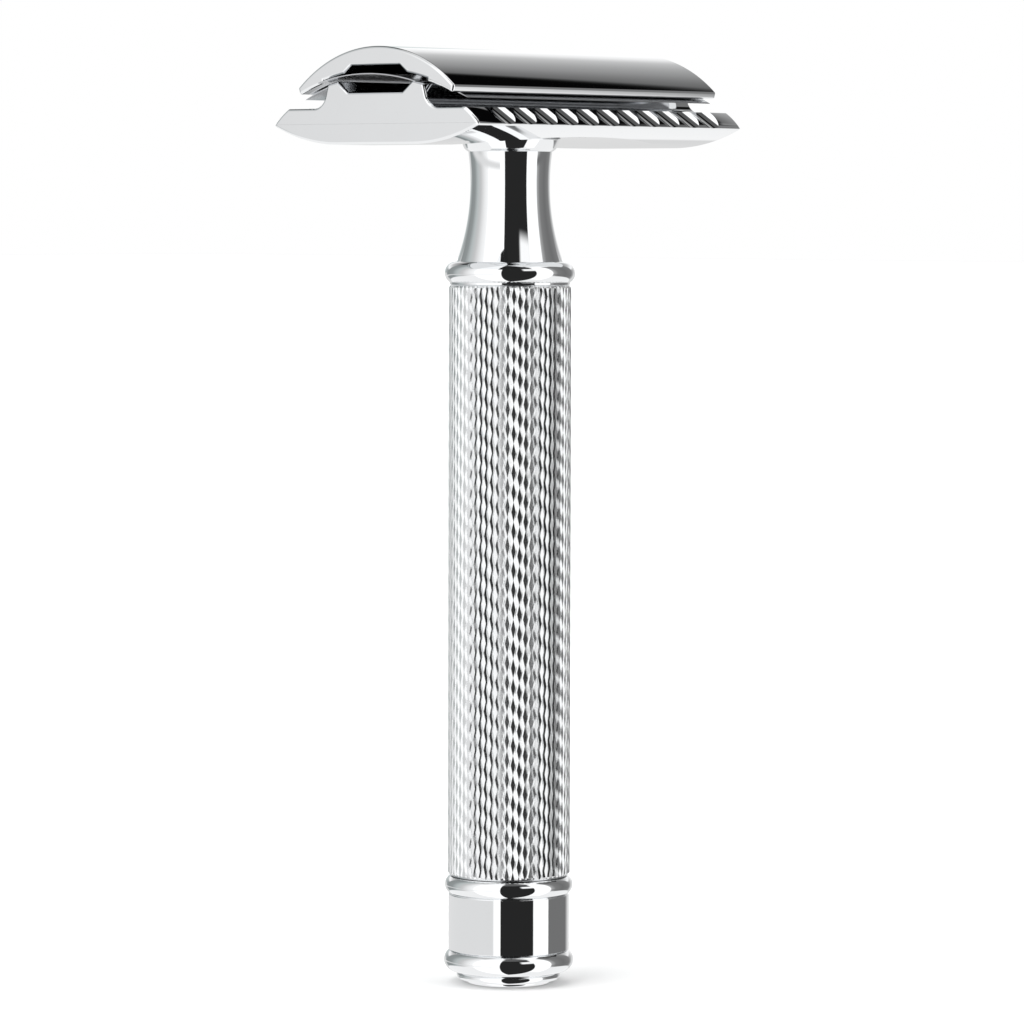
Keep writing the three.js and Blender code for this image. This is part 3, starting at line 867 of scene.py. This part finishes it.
def make_stud():
    """A right-hand thread on a grid that follows its helix, clamped flat at both ends."""
    low, high = STUD_LOW.z, STUD_HIGH.z
    sides, per_turn = THREAD_SIDES, THREAD_ROWS
    turns = math.ceil((high - low) / THREAD_PITCH) + 1

    def thread(share):
        """Depth below the crest: a flat crest, two flanks and a flat root."""
        share %= 1
        flank = min(abs(share - 0.5) / THREAD_FLANK, 1.0)
        return THREAD_DEPTH * (1 - max(0.0, (flank - THREAD_ROOT) / (1 - THREAD_ROOT)))

    def height(k, i):
        """Where a row of the grid crosses a side, kept within the stud."""
        return min(max(low + THREAD_PITCH * (k / per_turn + i / sides), low), high)

    def key(i, z):
        return (i % sides, round(z, 5))

    vertices, index = [], {}
    rows = turns * per_turn
    for k in range(-per_turn, rows + 1):
        for i in range(sides + 1):
            z = height(k, i)
            r = THREAD_RADIUS - thread(z / THREAD_PITCH - i / sides)
            r = min(r, THREAD_RADIUS - STUD_CHAMFER + (z - low))
            angle = 2 * math.pi * i / sides
            if key(i, z) not in index:
                index[key(i, z)] = len(vertices)
                vertices.append((r * math.cos(angle), r * math.sin(angle), z))
    faces = []
    for k in range(-per_turn, rows):
        for i in range(sides):
            corners = ((k, i), (k, i + 1), (k + 1, i + 1), (k + 1, i))
            face = [index[key(side, height(row, side))] for row, side in corners]
            unique = [v for n, v in enumerate(face) if v not in face[:n]]
            if len(unique) > 2:
                faces.append(unique)
    faces.append([index[key(i, low)] for i in reversed(range(sides))])
    faces.append([index[key(i, high)] for i in range(sides)])
    return piece("threaded_stud", vertices, faces, sharp=SMOOTH_THREAD)


dress(make_foot(), polished, "handle", "end_cap")
dress(make_band(), polished, "handle", "pommel_band")
bead = make_ring("pommel_bead", RING_LOW.z, RING_HIGH.z, UPPER_BEAD)
dress(bead, polished, "handle", "pommel_ring")
dress(make_grip(), knurled, "handle", "grip_sleeve")
bead = make_ring("collar_bead", COLLAR_LOW.z, COLLAR_HIGH.z, COLLAR_BEAD)
dress(bead, polished, "handle", "collar_ring")
dress(make_neck(), polished, "handle", "neck")
dress(make_screw(), machined, "handle", "tie_screw")
dress(finish_plate(), head_polish, "plate", "base_plate")
dress(make_blade(), ground, "blade", "razor_blade")
dress(make_cap(), head_polish, "cap", "top_cap")
dress(make_stud(), machined, "cap", "cap_stud")


# ---------------------------------------------------------------------------------------
# Studio and camera
# ---------------------------------------------------------------------------------------

TO_CAMERA = Vector((-math.cos(VIEW_AZIMUTH), -math.sin(VIEW_AZIMUTH), 0))
TO_RIGHT = Vector((math.sin(VIEW_AZIMUTH), -math.cos(VIEW_AZIMUTH), 0))


def make_camera():
    data = bpy.data.cameras.new("camera")
    data.lens = LENS
    data.clip_start, data.clip_end = CLIP
    camera = bpy.data.objects.new("camera", data)
    SCENE.collection.objects.link(camera)
    place = TO_CAMERA * CAMERA_DISTANCE + TO_RIGHT * CAMERA_SIDESTEP
    camera.location = (place + Vector((0, 0, CAMERA_HEIGHT))) * MM
    forward = -TO_CAMERA * math.cos(VIEW_PITCH) - Vector((0, 0, math.sin(VIEW_PITCH)))
    turn = forward.to_track_quat("-Z", "Y").to_matrix() @ Matrix.Rotation(VIEW_ROLL, 3, "Z")
    camera.rotation_euler = turn.to_euler()
    SCENE.camera = camera


# Brightness of the room's wall as it shows in the chrome, by degrees from the camera's side,
# turning to its right.
WALL = [
    (-180, 0.84),
    (-160, 0.72),
    (-140, 0.55),
    (-122, 0.58),
    (-108, 0.73),
    (-94, 0.77),
    (-86, 0.85),
    (-78, 0.92),
    (-64, 1.0),
    (81, 1.0),
    (84, 0.66),
    (94, 0.48),
    (115, 0.43),
    (138, 0.49),
    (152, 0.74),
    (166, 0.93),
    (180, 0.97),
]
# The wall behind the razor darkens as it goes up, by degrees of height.
BEHIND = [(14, 0.96), (19, 0.9), (24, 0.75), (30, 0.64), (34, 0.56), (38, 0.4), (39, 0.02)]
# Panels stood in front of the wall, each over the ones before it: degrees round from and to,
# degrees up from and to, softness of the sides and of the ends in degrees, brightness.
PANELS = [
    (-200, -150, -20, 0, 6, 3, 0.82),
    (150, 200, -20, 0, 6, 3, 0.82),
    (-200, 200, -100, -20, 0.1, 3, 0.94),
    (-66, -16, -100, 60, 5, 3, 1.05),
    (-160, -29, -9.3, -6.1, 4, 2.6, 0.86),
    (81, 140, -9.3, -6.1, 2, 2.6, 0.44),
    (50, 82, -55, 60, 1.5, 3, 1.05),
    (-200, -70, 60, 100, 8, 3, 0.75),
    (70, 200, 61, 100, 8, 3, 1.05),
    (-200, -140, 61, 100, 8, 3, 1.05),
    (100, 200, 45, 61, 4, 4, 0.34),
    (126, 200, 38.4, 46, 2, 1.5, 0.02),
    (-15.5, 48, -100, 58, 1.2, 3, 0.15),
    (-15.5, 60, 58, 100, 8, 3, 0.35),
    (25, 50, 25, 43, 7, 8, 1.0),
]
# Where the wall behind the razor begins: degrees round and up, and the softness of each.
BEHIND_TURN = (141, 4)
BEHIND_RISE = (12, 8)
# Light of a white panel and the level that counts as white, how much of the light the chrome
# gives back, and the extra light that the matt floor gets so that it shows as white as the
# backdrop.
WHITE = 1.15
WHITE_FROM = 0.98
SHOWN = 0.86
FLOOR_BOOST = 1.6
# The duller parts of the wall on the far left are a little cooler.
COOL_RED = 0.93
COOL_BEFORE = -95
COOL_BELOW = 0.9

FLOOR_HALF = 6.0
FLOOR_SHADE = 0.95


def linear(level):
    """Light that shows as this share of white in the chrome, by the curve of an sRGB screen."""
    scale = WHITE if level > WHITE_FROM else 1 / SHOWN
    return scale * ((level + 0.055) / 1.055) ** 2.4


def ramp(nodes, stops, low, high):
    """A colour ramp over degrees from low to high."""
    node = nodes.new("ShaderNodeValToRGB")
    elements = node.color_ramp.elements
    while len(elements) > 1:
        elements.remove(elements[-1])
    for k, (degrees, level) in enumerate(stops):
        position = (degrees - low) / (high - low)
        element = elements[0] if k == 0 else elements.new(position)
        element.position = position
        light = linear(level)
        red = COOL_RED if degrees < COOL_BEFORE and level < COOL_BELOW else 1.0
        element.color = (light * red, light, light, 1)
    return node


def make_studio():
    world = bpy.data.worlds.new("studio")
    SCENE.world = world
    world.use_nodes = True
    nodes, links = world.node_tree.nodes, world.node_tree.links
    nodes.clear()
    coords = nodes.new("ShaderNodeTexCoord")

    def dot(axis):
        node = nodes.new("ShaderNodeVectorMath")
        node.operation = "DOT_PRODUCT"
        node.inputs[1].default_value = axis
        links.new(coords.outputs["Generated"], node.inputs[0])
        return node.outputs["Value"]

    def math_node(operation, *inputs):
        node = nodes.new("ShaderNodeMath")
        node.operation = operation
        for k, value in enumerate(inputs):
            if isinstance(value, (int, float)):
                node.inputs[k].default_value = value
            else:
                links.new(value, node.inputs[k])
        return node.outputs[0]

    def mix(factor, under, over):
        node = nodes.new("ShaderNodeMix")
        node.data_type = "RGBA"
        links.new(factor, node.inputs["Factor"])
        links.new(under, node.inputs["A"])
        if isinstance(over, (int, float)):
            node.inputs["B"].default_value = (over, over, over, 1)
        else:
            links.new(over, node.inputs["B"])
        return node.outputs["Result"]

    def rises(value, edge, softness):
        """0 below an edge and 1 above it."""
        node = nodes.new("ShaderNodeMapRange")
        node.interpolation_type = "SMOOTHSTEP"
        node.inputs["From Min"].default_value = edge - softness / 2
        node.inputs["From Max"].default_value = edge + softness / 2
        links.new(value, node.inputs["Value"])
        return node.outputs["Result"]

    def within(value, low, high, softness):
        return math_node("SUBTRACT", rises(value, low, softness), rises(value, high, softness))

    around = math_node("ARCTAN2", dot(TO_RIGHT), dot(TO_CAMERA))
    turn = math_node("MULTIPLY", around, math.degrees(1))
    above = math_node("ARCSINE", dot(Vector((0, 0, 1))))
    rise = math_node("MULTIPLY", above, math.degrees(1))

    wall = ramp(nodes, WALL, -180, 180)
    links.new(math_node("MULTIPLY_ADD", turn, 1 / 360, 0.5), wall.inputs["Fac"])
    behind = ramp(nodes, BEHIND, -90, 90)
    links.new(math_node("MULTIPLY_ADD", rise, 1 / 180, 0.5), behind.inputs["Fac"])
    far_round = rises(math_node("ABSOLUTE", turn), *BEHIND_TURN)
    at_back = math_node("MULTIPLY", far_round, rises(rise, *BEHIND_RISE))
    light = mix(at_back, wall.outputs["Color"], behind.outputs["Color"])
    for left, right, low, high, side_soft, end_soft, level in PANELS:
        across, upward = within(turn, left, right, side_soft), within(rise, low, high, end_soft)
        inside = math_node("MULTIPLY", across, upward)
        light = mix(inside, light, linear(level))

    path = nodes.new("ShaderNodeLightPath")
    backdrop = mix(path.outputs["Is Camera Ray"], light, 1.0)
    shown = nodes.new("ShaderNodeBackground")
    links.new(backdrop, shown.inputs["Color"])
    strength = math_node("MULTIPLY_ADD", path.outputs["Is Diffuse Ray"], FLOOR_BOOST, 1.0)
    links.new(strength, shown.inputs["Strength"])
    out = nodes.new("ShaderNodeOutputWorld")
    links.new(shown.outputs["Background"], out.inputs["Surface"])


def make_floor():
    mesh = bpy.data.meshes.new("floor")
    corners = [(x * FLOOR_HALF, y * FLOOR_HALF, 0) for x, y in ((-1, -1), (1, -1), (1, 1), (-1, 1))]
    mesh.from_pydata(corners, [], [(0, 1, 2, 3)])
    floor = bpy.data.objects.new("floor", mesh)
    SCENE.collection.objects.link(floor)
    material = bpy.data.materials.new("floor")
    material.use_nodes = True
    shader = material.node_tree.nodes["Principled BSDF"]
    shader.inputs["Base Color"].default_value = (*[FLOOR_SHADE] * 3, 1)
    shader.inputs["Roughness"].default_value = 1.0
    shader.inputs["Specular IOR Level"].default_value = 0.0
    mesh.materials.append(material)
    floor.visible_glossy = False


make_camera()
make_studio()
make_floor()
SCENE.view_settings.view_transform = "Standard"
